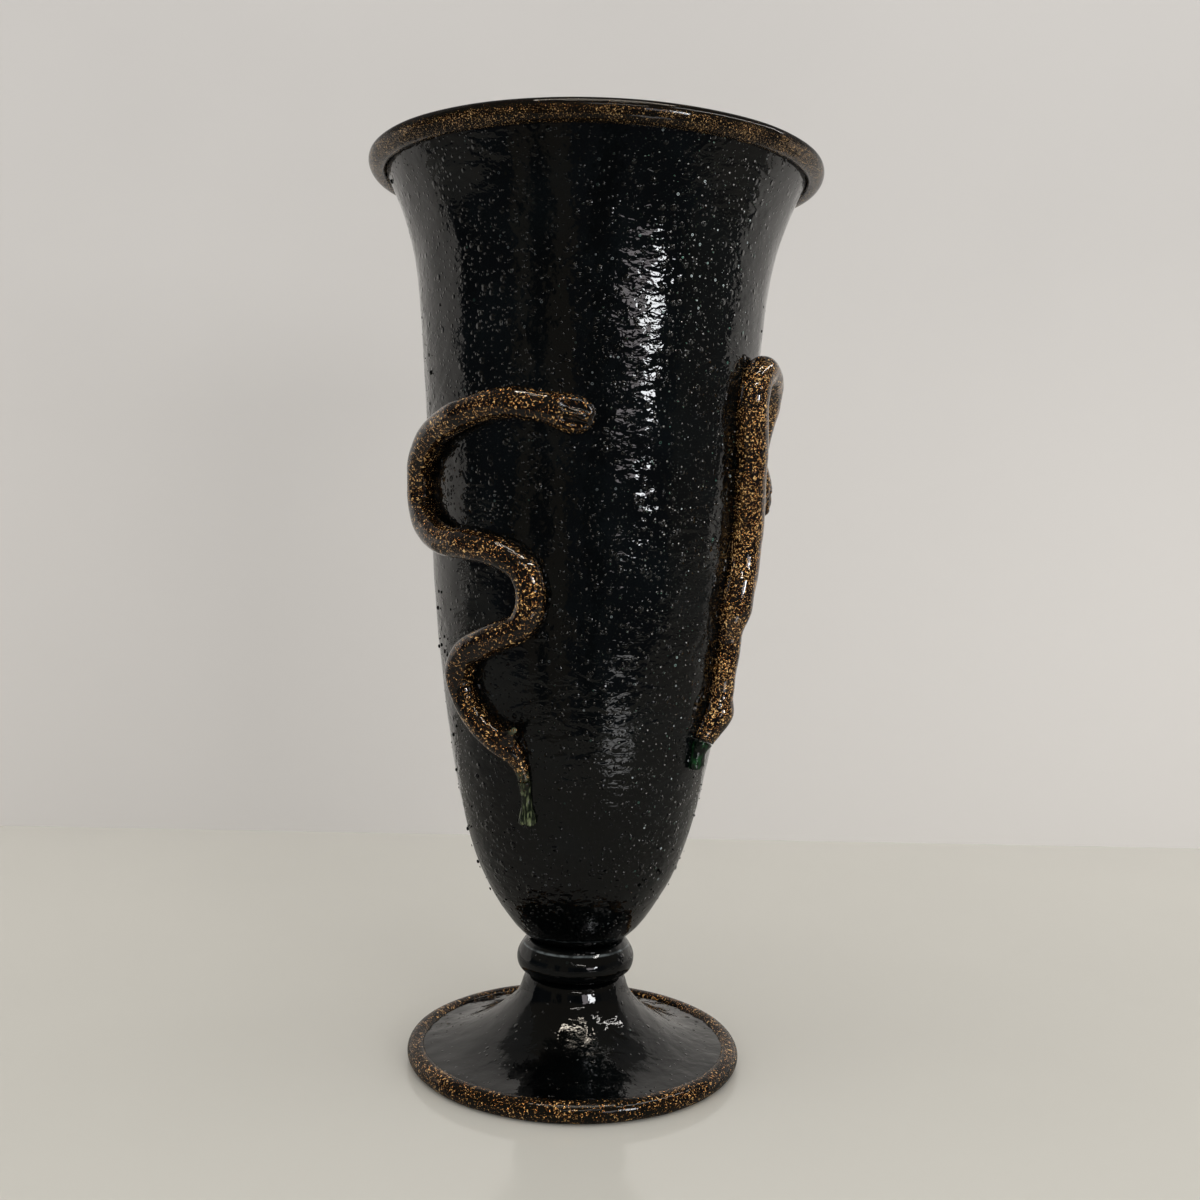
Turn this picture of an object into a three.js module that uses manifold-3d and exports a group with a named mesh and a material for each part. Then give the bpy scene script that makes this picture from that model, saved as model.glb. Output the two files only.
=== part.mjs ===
// A footed glass vase: a flared bowl on a trumpet foot, joined by a round collar,
// with a speckled bead wound round the mouth and round the foot, and two speckled
// snakes laid hot on the wall. Millimetres, +Z up, the origin on the table under the axis.
import * as THREE from "three";
import { mergeVertices } from "three/addons/utils/BufferGeometryUtils.js";
import Module from "manifold-3d";

const wasm = await Module();
wasm.setup();

// Clearance between two pieces of glass that are fused on the real vase
const SEAM = 0.3;

// Foot: a blown trumpet, hollow beneath
const FOOT_HEIGHT = 40.5;
const FOOT_NECK_RADIUS = 22.5;
const FOOT_THROAT_RADIUS = 24;
const FOOT_THROAT_DROP = 9.5;
const FOOT_SLOPE_RADIUS = 36;
const FOOT_SLOPE_DROP = 21.5;
const FOOT_SKIRT_RADIUS = 52;
const FOOT_SKIRT_DROP = 30.5;
const FOOT_EDGE_RADIUS = 69.5;
const FOOT_EDGE_DROP = 33.5;
const FOOT_WALL = 4.2;
const FOOT_CROWN = 9;

// Collar: a solid ring of glass between foot and bowl
const COLLAR_HEIGHT = 12.4;
const COLLAR_RADIUS = 26.6;
const COLLAR_LOWER_JOINT_RADIUS = 22.8;
const COLLAR_UPPER_JOINT_RADIUS = 21;

// Bowl: outer radius at seven levels, and the rise from each level to the next
const BOWL_BASE_RADIUS = 21.6;
const CUP_RADIUS = 41;
const TURN_RADIUS = 51.5;
const FLANK_RADIUS = 65;
const UPPER_FLANK_RADIUS = 74;
const THROAT_RADIUS = 80;
const MOUTH_RADIUS = 92.6;
const CUP_RISE = 26.5;
const TURN_RISE = 30;
const FLANK_RISE = 80;
const UPPER_FLANK_RISE = 120;
const THROAT_RISE = 55;
const MOUTH_RISE = 29.1;
const BOWL_WALL = 4.5;
const BOWL_FLOOR = 9;

// Beads: a rod of speckled glass wound on each edge
const LIP_BEAD_WIDTH = 7.8;
const LIP_BEAD_HEIGHT = 9.4;
const LIP_BEAD_LEAN = 36;
const LIP_BEAD_STANDOFF = 2.9;
const LIP_BEAD_LIFT = 1.6;
const FOOT_BEAD_WIDTH = 9.2;
const FOOT_BEAD_HEIGHT = 9.4;
const FOOT_BEAD_STANDOFF = 1.1;
const FOOT_LAND_WIDTH = 2.6;

// Snakes: how far a cane sinks where it touches the hot wall, and the pressed head
const SNAKE_SEAT = 1.9;
const SNOUT_LENGTH = 8;
const HEAD_FLATTENING = 0.86;
const PRESS_MARK_LENGTH = 11;
const PRESS_MARK_WIDTH = 5;
const PRESS_MARK_DEPTH = 1;
const PRESS_MARK_SPLAY = 12;
const PRESS_MARK_TURN = 25;
const SPUR_RADIUS = 2.3;
const TIP_FLATTENING = 0.75;

// Each snake: its girths are half widths of the cane, its route runs from snout to tail as
// degrees round the vase from the front, positive to the right, and hundredths of the bowl's
// height above its base.
const LEFT_SNAKE = {
  headLength: 21,
  headRadius: 7.6,
  neckRadius: 6.4,
  bodyRadius: 6.2,
  tailRadius: 5.4,
  joinRadius: 2.7,
  tipWaistRadius: 2.1,
  tipEndRadius: 3.9,
  tailLength: 44,
  tipLength: 19,
  bulgeRadius: 5.6,
  bulgeFromJoin: 22,
  spurToJoin: 19.5,
  spurSide: 1,
  notchRadius: 0.9,
  route: [
    [3, 67.5], [-4, 68], [-14, 68.8], [-25, 69.3], [-38, 68.6], [-54, 66.8],
    [-66.5, 64.3], [-74.5, 60.9], [-75.5, 57.7], [-67, 55], [-54, 53.1],
    [-39, 52.6], [-28.5, 51.8], [-20.5, 50.1], [-17.5, 47.1], [-20.5, 43.6],
    [-33, 41.5], [-44.5, 39.5], [-49.8, 36.7], [-48.5, 33.9], [-42, 31.4],
    [-33.5, 29.5], [-27.3, 27.7], [-24, 25.2], [-23.3, 22.6], [-23, 20], [-23.2, 18.8],
  ],
};
const RIGHT_SNAKE = {
  headLength: 28,
  headRadius: 7.6,
  neckRadius: 5.9,
  bodyRadius: 6.9,
  tailRadius: 5.2,
  joinRadius: 4.9,
  tipWaistRadius: 4.1,
  tipEndRadius: 4.5,
  tailLength: 46,
  tipLength: 12,
  bulgeRadius: 6.3,
  bulgeFromJoin: 14,
  spurToJoin: 1,
  spurSide: 1,
  notchRadius: 2.2,
  route: [
    [86.5, 56.8], [87.5, 58.7], [88.6, 61.5], [89, 64.6], [88.3, 67.7], [85.2, 70.6],
    [79.6, 73.1], [73, 74.6], [66.6, 75], [62.4, 73.8], [60.9, 71.6], [61.4, 69.1],
    [63, 66.6], [64.6, 64], [65, 61.4], [66.2, 58.3], [67, 54.6], [66.8, 50.9],
    [64.4, 47.6], [63.5, 44], [65, 40.2], [63.9, 37.3], [64.6, 34.9], [63.3, 32.6],
    [60, 30.4], [57.2, 28.8], [56.2, 27], [57, 25.4],
  ],
};

const ROUND_STEPS = 52;
const CANE_SIDES = 10;
const CANE_STEP = 4.8;

// Heights above the table
const COLLAR_BASE = FOOT_HEIGHT + SEAM;
const BOWL_BASE = COLLAR_BASE + COLLAR_HEIGHT + SEAM;
const BOWL_RISES = [CUP_RISE, TURN_RISE, FLANK_RISE, UPPER_FLANK_RISE, THROAT_RISE, MOUTH_RISE];
const BOWL_HEIGHT = BOWL_RISES.reduce((sum, rise) => sum + rise, 0);
const BOWL_RADII = [
  BOWL_BASE_RADIUS, CUP_RADIUS, TURN_RADIUS, FLANK_RADIUS,
  UPPER_FLANK_RADIUS, THROAT_RADIUS, MOUTH_RADIUS,
];

// A smooth outline through points given as [radius, height]
function outline(points) {
  const places = points.map(([radius, height]) => new THREE.Vector3(radius, height, 0));
  return new THREE.CatmullRomCurve3(places, false, "centripetal");
}

function bowlOutline() {
  let height = BOWL_BASE;
  const levels = [[BOWL_RADII[0], height]];
  BOWL_RISES.forEach((rise, i) => {
    height += rise;
    levels.push([BOWL_RADII[i + 1], height]);
  });
  return outline(levels);
}

const bowlCurve = bowlOutline();
const mouth = bowlCurve.getPoint(1);

// Outline points moved along their own normals, positive away from the axis
function offsetOutline(curve, steps, distance) {
  const points = [];
  for (let i = 0; i <= steps; i++) {
    const point = curve.getPointAt(i / steps);
    const along = curve.getTangentAt(i / steps);
    points.push(new THREE.Vector2(point.x + distance * along.y, point.y - distance * along.x));
  }
  return points;
}

// Point and outward normal of the bowl's wall at a height
function wallAt(height) {
  let low = 0;
  let high = 1;
  for (let i = 0; i < 40; i++) {
    const middle = (low + high) / 2;
    if (bowlCurve.getPoint(middle).y < height) low = middle;
    else high = middle;
  }
  const point = bowlCurve.getPoint(low);
  const along = bowlCurve.getTangent(low);
  return { radius: point.x, normal: new THREE.Vector2(along.y, -along.x).normalize() };
}

// A closed geometry as a solid that can be joined and cut
function solid(geometry) {
  const bare = geometry.clone();
  bare.deleteAttribute("normal");
  bare.deleteAttribute("uv");
  const merged = mergeVertices(bare, 1e-4);
  return new wasm.Manifold(
    new wasm.Mesh({
      numProp: 3,
      vertProperties: new Float32Array(merged.attributes.position.array),
      triVerts: new Uint32Array(merged.index.array),
    }),
  );
}

// A profile of radius and height turned about the vase's axis
function turned(profile) {
  const geometry = new THREE.LatheGeometry(profile, ROUND_STEPS);
  geometry.rotateX(Math.PI / 2);
  return solid(geometry);
}

// Points of an ellipse, from one angle to another, in degrees
function arc(centreX, centreY, radiusX, radiusY, from, to, steps, lean = 0) {
  const ellipse = new THREE.EllipseCurve(
    centreX, centreY, radiusX, radiusY,
    THREE.MathUtils.degToRad(from), THREE.MathUtils.degToRad(to), to < from,
    THREE.MathUtils.degToRad(-lean),
  );
  return ellipse.getPoints(steps);
}

// The half-round edge that closes a wall at the end of its outline, from the outline's own
// side to the other side; wall is negative where the wall lies towards the axis
function roundedEdge(curve, wall, grow, steps) {
  const end = curve.getPoint(1);
  const along = curve.getTangentAt(1);
  const side = -Math.sign(wall);
  const half = Math.abs(wall) / 2 + grow;
  const points = [];
  for (let i = 1; i < steps; i++) {
    const turn = (Math.PI * i) / steps;
    const across = wall / 2 + side * half * Math.cos(turn);
    const forward = half * Math.sin(turn);
    points.push(new THREE.Vector2(
      end.x + across * along.y + forward * along.x,
      end.y - across * along.x + forward * along.y,
    ));
  }
  return points;
}

// The bowl's wall, with every surface moved out by grow
function bowl(grow = 0) {
  const outside = offsetOutline(bowlCurve, 16, grow);
  const inside = offsetOutline(bowlCurve, 10, -BOWL_WALL - grow);
  const edge = roundedEdge(bowlCurve, -BOWL_WALL, grow, 4);
  const floorHeight = BOWL_BASE + BOWL_FLOOR - grow;
  const above = inside.filter((point) => point.y > floorHeight + BOWL_FLOOR / 2).reverse();
  const last = above[above.length - 1];
  const dish = arc(0, last.y, last.x, last.y - floorHeight, 0, -90, 4).slice(1);
  dish[dish.length - 1].x = 0;
  const base = new THREE.Vector2(0, BOWL_BASE - grow);
  const heel = new THREE.Vector2(BOWL_BASE_RADIUS + grow, BOWL_BASE - grow);
  const profile = [base, heel, ...outside.slice(1), ...edge, ...above, ...dish];
  return turned(profile);
}

function collar() {
  const top = COLLAR_BASE + COLLAR_HEIGHT;
  const middle = COLLAR_BASE + COLLAR_HEIGHT / 2;
  const lower = arc(
    COLLAR_LOWER_JOINT_RADIUS, middle,
    COLLAR_RADIUS - COLLAR_LOWER_JOINT_RADIUS, COLLAR_HEIGHT / 2, -90, 0, 4,
  );
  const upper = arc(
    COLLAR_UPPER_JOINT_RADIUS, middle,
    COLLAR_RADIUS - COLLAR_UPPER_JOINT_RADIUS, COLLAR_HEIGHT / 2, 0, 90, 4,
  );
  const profile = [
    new THREE.Vector2(0, COLLAR_BASE), ...lower, ...upper.slice(1), new THREE.Vector2(0, top),
  ];
  return turned(profile);
}

// The trumpet foot, with every surface moved out by grow
function foot(grow = 0) {
  const curve = outline([
    [FOOT_NECK_RADIUS, FOOT_HEIGHT],
    [FOOT_THROAT_RADIUS, FOOT_HEIGHT - FOOT_THROAT_DROP],
    [FOOT_SLOPE_RADIUS, FOOT_HEIGHT - FOOT_SLOPE_DROP],
    [FOOT_SKIRT_RADIUS, FOOT_HEIGHT - FOOT_SKIRT_DROP],
    [FOOT_EDGE_RADIUS, FOOT_HEIGHT - FOOT_EDGE_DROP],
  ]);
  const outside = offsetOutline(curve, 9, -grow);
  const beneath = offsetOutline(curve, 7, FOOT_WALL + grow);
  const edge = roundedEdge(curve, FOOT_WALL, grow, 3);
  const crownHeight = FOOT_HEIGHT - FOOT_CROWN;
  const below = beneath.filter((point) => point.y < crownHeight - FOOT_CROWN / 2);
  const first = below[0];
  const crown = arc(0, first.y, first.x, crownHeight + grow - first.y, 90, 0, 4).slice(0, -1);
  crown[0].x = 0;
  const top = new THREE.Vector2(0, FOOT_HEIGHT + grow);
  const profile = [...crown, ...below, ...edge.reverse(), ...outside.reverse(), top];
  return turned(profile);
}

function lipBead() {
  const profile = arc(
    mouth.x + LIP_BEAD_STANDOFF, mouth.y + LIP_BEAD_LIFT,
    LIP_BEAD_WIDTH / 2, LIP_BEAD_HEIGHT / 2, 0, 360, 10, LIP_BEAD_LEAN,
  );
  profile[profile.length - 1].copy(profile[0]);
  return turned(profile).subtract(bowl(SEAM));
}

// The foot's bead has a narrow flat ground along its underside, on which the vase stands
function footBead() {
  const land = Math.asin(Math.min(0.9, FOOT_LAND_WIDTH / FOOT_BEAD_WIDTH));
  const centreHeight = (FOOT_BEAD_HEIGHT / 2) * Math.cos(land);
  const cut = THREE.MathUtils.radToDeg(land);
  const profile = arc(
    FOOT_EDGE_RADIUS + FOOT_BEAD_STANDOFF, centreHeight,
    FOOT_BEAD_WIDTH / 2, FOOT_BEAD_HEIGHT / 2, -90 + cut, 270 - cut, 9,
  );
  profile.push(profile[0].clone());
  return turned(profile).subtract(foot(SEAM));
}

// A point on the wall at an angle round the vase, with the wall's outward normal there
function onWall(degrees, height) {
  const { radius, normal } = wallAt(height);
  const angle = THREE.MathUtils.degToRad(degrees);
  const out = new THREE.Vector3(Math.sin(angle), -Math.cos(angle), 0);
  return {
    point: out.clone().multiplyScalar(radius).setZ(height),
    normal: out.clone().multiplyScalar(normal.x).setZ(normal.y),
  };
}

// Smooth reading between [place, value] pairs
function readOff(pairs, place) {
  if (place <= pairs[0][0]) return pairs[0][1];
  for (let i = 1; i < pairs.length; i++) {
    const [end, value] = pairs[i];
    if (place <= end) {
      const [start, before] = pairs[i - 1];
      return THREE.MathUtils.lerp(before, value, THREE.MathUtils.smoothstep(place, start, end));
    }
  }
  return pairs[pairs.length - 1][1];
}

// The measured run of one snake: frames along its route and the cane's girth at each
function snakeRun(snake) {
  const places = snake.route.map(
    ([degrees, hundredths]) => onWall(degrees, BOWL_BASE + (BOWL_HEIGHT * hundredths) / 100).point,
  );
  const path = new THREE.CatmullRomCurve3(places, false, "centripetal");
  path.arcLengthDivisions = 600;
  const length = path.getLength();
  const join = length - snake.tipLength;
  const girths = [
    [0, snake.headRadius],
    [snake.headLength / 2, snake.headRadius],
    [snake.headLength, snake.neckRadius],
    [snake.headLength * 2.5, snake.bodyRadius],
    [join - snake.tailLength * 1.3, snake.bodyRadius],
    [join - snake.tailLength, snake.tailRadius],
    [join - snake.bulgeFromJoin * 1.6, snake.tailRadius],
    [join - snake.bulgeFromJoin, snake.bulgeRadius],
    [join, snake.joinRadius],
    [join + snake.tipLength * 0.4, snake.tipWaistRadius],
    [length, snake.tipEndRadius],
  ];
  const flatness = [
    [0, HEAD_FLATTENING],
    [snake.headLength, HEAD_FLATTENING],
    [snake.headLength * 1.8, 1],
    [join - snake.bulgeFromJoin, 1],
    [length, TIP_FLATTENING],
  ];
  // The frame at a distance from the snout: centre, along, across and out
  function frameAt(distance) {
    const share = THREE.MathUtils.clamp(distance / length, 0, 1);
    const place = path.getPointAt(share);
    const along = path.getTangentAt(share);
    const degrees = THREE.MathUtils.radToDeg(Math.atan2(place.x, -place.y));
    const wall = onWall(degrees, place.z);
    const snout = Math.min(1, distance / SNOUT_LENGTH);
    const noseShare = Math.sqrt(Math.max(0, 1 - (1 - snout) ** 2));
    const width = readOff(girths, distance) * noseShare;
    const rise = readOff(girths, distance) * readOff(flatness, distance);
    const out = wall.normal;
    const across = new THREE.Vector3().crossVectors(out, along).normalize();
    const lift = rise - Math.min(SNAKE_SEAT, rise * 0.6);
    const centre = wall.point.clone().addScaledVector(out, lift);
    return { centre, along, across, out, width, rise: rise * noseShare };
  }
  return { length, join, frameAt };
}

// A cane along part of a snake's run: rings of points with a cap at each end
function cane(run, from, to) {
  const steps = Math.max(4, Math.round((to - from) / CANE_STEP));
  const stops = [];
  if (from === 0) stops.push(0.12, 0.6, 1.6, 3, 5);
  for (let i = 0; i <= steps; i++) {
    const stop = from + ((to - from) * i) / steps;
    if (!stops.length || stop > stops[stops.length - 1] + CANE_STEP / 2) stops.push(stop);
  }
  stops[stops.length - 1] = to;
  const corners = [];
  for (const stop of stops) {
    const { centre, across, out, width, rise } = run.frameAt(stop);
    for (let k = 0; k < CANE_SIDES; k++) {
      const turn = (2 * Math.PI * k) / CANE_SIDES;
      const corner = centre.clone()
        .addScaledVector(across, width * Math.cos(turn))
        .addScaledVector(out, rise * Math.sin(turn));
      corners.push(corner.x, corner.y, corner.z);
    }
  }
  const faces = [];
  for (let i = 0; i + 1 < stops.length; i++) {
    for (let k = 0; k < CANE_SIDES; k++) {
      const a = i * CANE_SIDES + k;
      const b = i * CANE_SIDES + ((k + 1) % CANE_SIDES);
      faces.push(a, b, a + CANE_SIDES, b, b + CANE_SIDES, a + CANE_SIDES);
    }
  }
  const firstCap = stops.length * CANE_SIDES;
  for (const stop of [stops[0], stops[stops.length - 1]]) {
    const { centre } = run.frameAt(stop);
    corners.push(centre.x, centre.y, centre.z);
  }
  const lastRing = (stops.length - 1) * CANE_SIDES;
  for (let k = 0; k < CANE_SIDES; k++) {
    const next = (k + 1) % CANE_SIDES;
    faces.push(firstCap, next, k);
    faces.push(firstCap + 1, lastRing + k, lastRing + next);
  }
  const geometry = new THREE.BufferGeometry();
  geometry.setAttribute("position", new THREE.Float32BufferAttribute(corners, 3));
  geometry.setIndex(faces);
  return solid(geometry);
}

// An egg-shaped tool or lump, its axes laid along the three given directions
function lump(centre, along, across, out, sizes) {
  const geometry = new THREE.SphereGeometry(1, 11, 7);
  geometry.scale(...sizes);
  const turn = new THREE.Matrix4().makeBasis(along, across, out).setPosition(centre);
  geometry.applyMatrix4(turn);
  return solid(geometry);
}

// Two oval marks that the pincers leave on the head, meeting at the snout
function pressMarks(run, snake) {
  const { centre, along, across, out, width, rise } = run.frameAt(snake.headLength * 0.42);
  return [1, -1].map((side) => {
    const turn = THREE.MathUtils.degToRad(PRESS_MARK_TURN * side);
    const splay = THREE.MathUtils.degToRad(-PRESS_MARK_SPLAY * side);
    const place = centre.clone()
      .addScaledVector(out, rise * Math.cos(turn))
      .addScaledVector(across, width * Math.sin(turn));
    const upright = out.clone().multiplyScalar(Math.cos(turn)).addScaledVector(across, Math.sin(turn));
    const lengthwise = along.clone().applyAxisAngle(upright, splay);
    const sideways = new THREE.Vector3().crossVectors(upright, lengthwise);
    const sizes = [PRESS_MARK_LENGTH / 2, PRESS_MARK_WIDTH / 2, PRESS_MARK_DEPTH];
    return lump(place, lengthwise, sideways, upright, sizes);
  });
}

// The small pinched spur beside the tail
function spur(run, snake) {
  const { centre, along, across, out, width } = run.frameAt(run.join - snake.spurToJoin - SPUR_RADIUS);
  const place = centre.clone().addScaledVector(across, snake.spurSide * width);
  const third = new THREE.Vector3().crossVectors(along, across);
  return lump(place, along, across, third, [SPUR_RADIUS, SPUR_RADIUS * 1.1, SPUR_RADIUS]);
}

const grownBowl = bowl(SEAM);

function snakeBody(run, snake) {
  let body = cane(run, 0, run.join - SEAM / 2).add(spur(run, snake));
  for (const mark of pressMarks(run, snake)) body = body.subtract(mark);
  return body.subtract(grownBowl);
}

function snakeTip(run, snake) {
  const tip = cane(run, run.join + SEAM / 2, run.length);
  const end = run.frameAt(run.length);
  const third = new THREE.Vector3().crossVectors(end.along, end.across);
  const sizes = [snake.notchRadius, snake.notchRadius * 0.8, end.rise * 3];
  const notch = lump(end.centre, end.along, end.across, third, sizes);
  return tip.subtract(notch).subtract(grownBowl);
}

const darkGlass = new THREE.MeshStandardMaterial({ color: 0x07100f, roughness: 0.08, metalness: 0 });
const speckledGlass = new THREE.MeshStandardMaterial({ color: 0x6d4a22, roughness: 0.2, metalness: 0.35 });
const greenGlass = new THREE.MeshStandardMaterial({ color: 0x0c3d22, roughness: 0.06, metalness: 0 });

const vase = new THREE.Group();

function place(name, shape, material, parent = vase) {
  const { vertProperties, triVerts } = shape.getMesh();
  const geometry = new THREE.BufferGeometry();
  geometry.setAttribute("position", new THREE.BufferAttribute(vertProperties, 3));
  geometry.setIndex(new THREE.BufferAttribute(triVerts, 1));
  geometry.computeVertexNormals();
  const mesh = new THREE.Mesh(geometry, material.clone());
  mesh.name = name;
  parent.add(mesh);
  return mesh;
}

place("foot", foot(), darkGlass);
place("foot_wrap", footBead(), speckledGlass);
place("collar", collar(), darkGlass);
place("bowl", bowl(), darkGlass);
place("lip_wrap", lipBead(), speckledGlass);

for (const [side, snake] of [["left", LEFT_SNAKE], ["right", RIGHT_SNAKE]]) {
  const creature = new THREE.Group();
  const run = snakeRun(snake);
  place(`snake_${side}`, snakeBody(run, snake), speckledGlass, creature);
  place(`snake_${side}_tail_tip`, snakeTip(run, snake), greenGlass, creature);
  vase.add(creature);
}

export default vase;
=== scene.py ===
# %% [markdown]
# # A footed glass vase with two applied snakes
#
# The real vase is blown and put together hot: a trumpet foot, a ring of glass as a collar, a tall
# flared bowl, a bead of speckled glass on each edge, and two snakes drawn out and laid on the wall.
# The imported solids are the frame. Each piece below takes its size and place from them and adds what
# solids leave out: a true curve, the hammered skin with its blisters, and the metal flecks.
# Everything is in metres, with +Z up and the front of the vase towards -Y.

import bisect
import math
import random

import bmesh
import bpy
from mathutils import Matrix, Vector, geometry, noise


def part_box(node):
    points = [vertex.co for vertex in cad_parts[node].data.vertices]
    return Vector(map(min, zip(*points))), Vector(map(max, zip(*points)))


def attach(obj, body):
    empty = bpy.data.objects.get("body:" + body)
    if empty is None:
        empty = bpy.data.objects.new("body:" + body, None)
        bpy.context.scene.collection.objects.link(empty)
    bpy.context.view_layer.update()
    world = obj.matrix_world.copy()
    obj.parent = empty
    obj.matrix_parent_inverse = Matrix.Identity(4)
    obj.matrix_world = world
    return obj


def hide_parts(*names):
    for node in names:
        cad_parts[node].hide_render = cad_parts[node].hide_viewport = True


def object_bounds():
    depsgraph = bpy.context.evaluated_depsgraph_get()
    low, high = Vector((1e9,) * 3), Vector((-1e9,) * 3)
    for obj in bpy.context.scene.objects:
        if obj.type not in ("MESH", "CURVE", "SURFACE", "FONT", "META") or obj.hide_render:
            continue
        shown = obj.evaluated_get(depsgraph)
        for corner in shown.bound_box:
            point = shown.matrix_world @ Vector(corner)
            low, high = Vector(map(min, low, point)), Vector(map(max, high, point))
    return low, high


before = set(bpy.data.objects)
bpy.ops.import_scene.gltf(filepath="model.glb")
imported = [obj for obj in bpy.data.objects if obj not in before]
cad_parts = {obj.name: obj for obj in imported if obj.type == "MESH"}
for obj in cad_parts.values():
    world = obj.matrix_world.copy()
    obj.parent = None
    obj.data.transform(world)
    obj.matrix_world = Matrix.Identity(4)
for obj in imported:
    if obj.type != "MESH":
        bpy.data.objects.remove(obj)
cad_low, cad_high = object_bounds()
print("solids:", sorted(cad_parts), "height", round(cad_high.z - cad_low.z, 4))

# %% [markdown]
# ## The camera
#
# The photograph was taken from a little above the middle of the vase, 60 cm away. The place, the
# tilt and the lens were worked out from the two ellipses that the mouth and the foot draw. A camera
# could be aimed with a Track To constraint; plain angles are used here, because they keep the small
# roll that the picture has.

# %% Camera
CAMERA_DISTANCE = 0.6002
CAMERA_HEIGHT = 0.2402
CAMERA_PITCH = math.radians(-3.0)
CAMERA_YAW = math.radians(0.644)
CAMERA_ROLL = math.radians(1.606)
LENS_MM = 40.1

camera_data = bpy.data.cameras.new("camera")
camera_data.sensor_width = 36
camera_data.lens = LENS_MM
camera = bpy.data.objects.new("camera", camera_data)
turned_right = Matrix.Rotation(-CAMERA_YAW, 4, "Z")
tipped = Matrix.Rotation(math.pi / 2 + CAMERA_PITCH, 4, "X")
rolled = Matrix.Rotation(CAMERA_ROLL, 4, "Z")
placed = Matrix.Translation((0, -CAMERA_DISTANCE, CAMERA_HEIGHT))
camera.matrix_world = placed @ turned_right @ tipped @ rolled
bpy.context.scene.collection.objects.link(camera)
bpy.context.scene.camera = camera
print("camera at", [round(v, 3) for v in camera.location])

# %% [markdown]
# ## Small helpers for materials
#
# A procedural material is a graph of nodes. `add` makes one node, sets its options and feeds its
# inputs from numbers or from other nodes' outputs, so that each material below reads as a recipe.

# %% Helpers for node graphs
def add(tree, kind, feed=None, **options):
    """One shader node: feed maps an input's name or number to a value or to another output."""
    made = tree.nodes.new(kind)
    for option, value in options.items():
        setattr(made, option, value)
    for key, value in (feed or {}).items():
        if isinstance(value, bpy.types.NodeSocket):
            tree.links.new(value, made.inputs[key])
        else:
            made.inputs[key].default_value = value
    return made


def math_of(tree, operation, first, second=0.0, clamp=False):
    feed = {0: first, 1: second}
    return add(tree, "ShaderNodeMath", feed, operation=operation, use_clamp=clamp).outputs[0]


def ramp(tree, value, low, high, start=0.0, end=1.0):
    """A smooth change from start to end as value goes from low to high."""
    feed = {"Value": value, "From Min": low, "From Max": high, "To Min": start, "To Max": end}
    return add(tree, "ShaderNodeMapRange", feed, interpolation_type="SMOOTHSTEP").outputs["Result"]


def blend(tree, amount, first, second):
    """A colour between first and second."""
    feed = {0: amount, 6: first, 7: second}
    return add(tree, "ShaderNodeMix", feed, data_type="RGBA").outputs[2]


def noise_of(tree, place, scale, detail=2.0, distortion=0.0, roughness=0.5):
    feed = {"Vector": place, "Scale": scale, "Detail": detail}
    feed |= {"Distortion": distortion, "Roughness": roughness}
    return add(tree, "ShaderNodeTexNoise", feed).outputs["Fac"]


def stretched(tree, place, scale):
    """The same places, with each axis scaled, so that a pattern on them is drawn out."""
    return add(tree, "ShaderNodeMapping", {"Vector": place, "Scale": scale}).outputs["Vector"]


def start_material(name):
    """An empty material with its shader, its output and the object's own coordinates."""
    material = bpy.data.materials.new(name)
    material.use_nodes = True
    tree = material.node_tree
    tree.nodes.clear()
    shader = add(tree, "ShaderNodeBsdfPrincipled")
    output = add(tree, "ShaderNodeOutputMaterial")
    tree.links.new(shader.outputs["BSDF"], output.inputs["Surface"])
    place = add(tree, "ShaderNodeTexCoord").outputs["Object"]
    return material, tree, shader, place


print("material helpers ready")

# %% [markdown]
# ## The table and the wall
#
# The vase stands on a glossy off-white table, 43 cm in front of a plain pale wall, and the table
# ends 40 cm in front of it. Both are only the stage, so they are flat planes. The wall has a trace
# of unevenness, and the table a gloss that mirrors the foot. Black glass mirrors both of them, and
# the photograph deepens such dark tones. So mirrored rays see the table and the wall's upper part
# darker than the camera does. Light Path's Is Glossy Ray tells these rays apart.

# %% Paint and planes for the stage
def plane(name, corners, material):
    shape = bmesh.new()
    shape.faces.new([shape.verts.new(corner) for corner in corners])
    mesh = bpy.data.meshes.new(name)
    shape.to_mesh(mesh)
    shape.free()
    mesh.materials.append(material)
    made = bpy.data.objects.new(name, mesh)
    bpy.context.scene.collection.objects.link(made)
    print(name, "is", [round(v, 2) for v in made.dimensions], "m")
    return made


def scaled_colour(colour, share):
    return tuple(share * v for v in colour[:3]) + (1,)


def stage_paint(name, colour, roughness, in_mirror, from_height=None, painted_light_low_right=0.0):
    """A plain painted surface. in_mirror is how bright mirrored rays find it, above the heights of
    from_height where they are given. The last argument says how much paler the paint is made low
    down and to the right: a painted pool of light on the wall.
    """
    material, tree, shader, place = start_material(name)
    cloud = noise_of(tree, place, 2.4, 3)
    tone = blend(tree, ramp(tree, cloud, 0.35, 0.65), scaled_colour(colour, 0.96), colour)
    spot = add(tree, "ShaderNodeSeparateXYZ", {"Vector": place})
    # Painted light: the paint is made paler low down and to the right, as light from the window and
    # the table would make it.
    if painted_light_low_right:
        low = ramp(tree, spot.outputs["Z"], 0.0, 0.6, 1.0, 0.0)
        rightwards = ramp(tree, spot.outputs["X"], -0.5, 0.6, 0.55, 1.0)
        painted_light_pool = math_of(tree, "MULTIPLY", low, rightwards)
        tone = blend(tree, painted_light_pool, tone, scaled_colour(colour, 1 + painted_light_low_right))
    mirrored = add(tree, "ShaderNodeLightPath").outputs["Is Glossy Ray"]
    if from_height:
        mirrored = math_of(tree, "MULTIPLY", mirrored, ramp(tree, spot.outputs["Z"], *from_height))
    tone = blend(tree, mirrored, tone, scaled_colour(colour, in_mirror))
    tree.links.new(tone, shader.inputs["Base Color"])
    shader.inputs["Roughness"].default_value = roughness
    return material


print("stage helpers ready")

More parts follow.
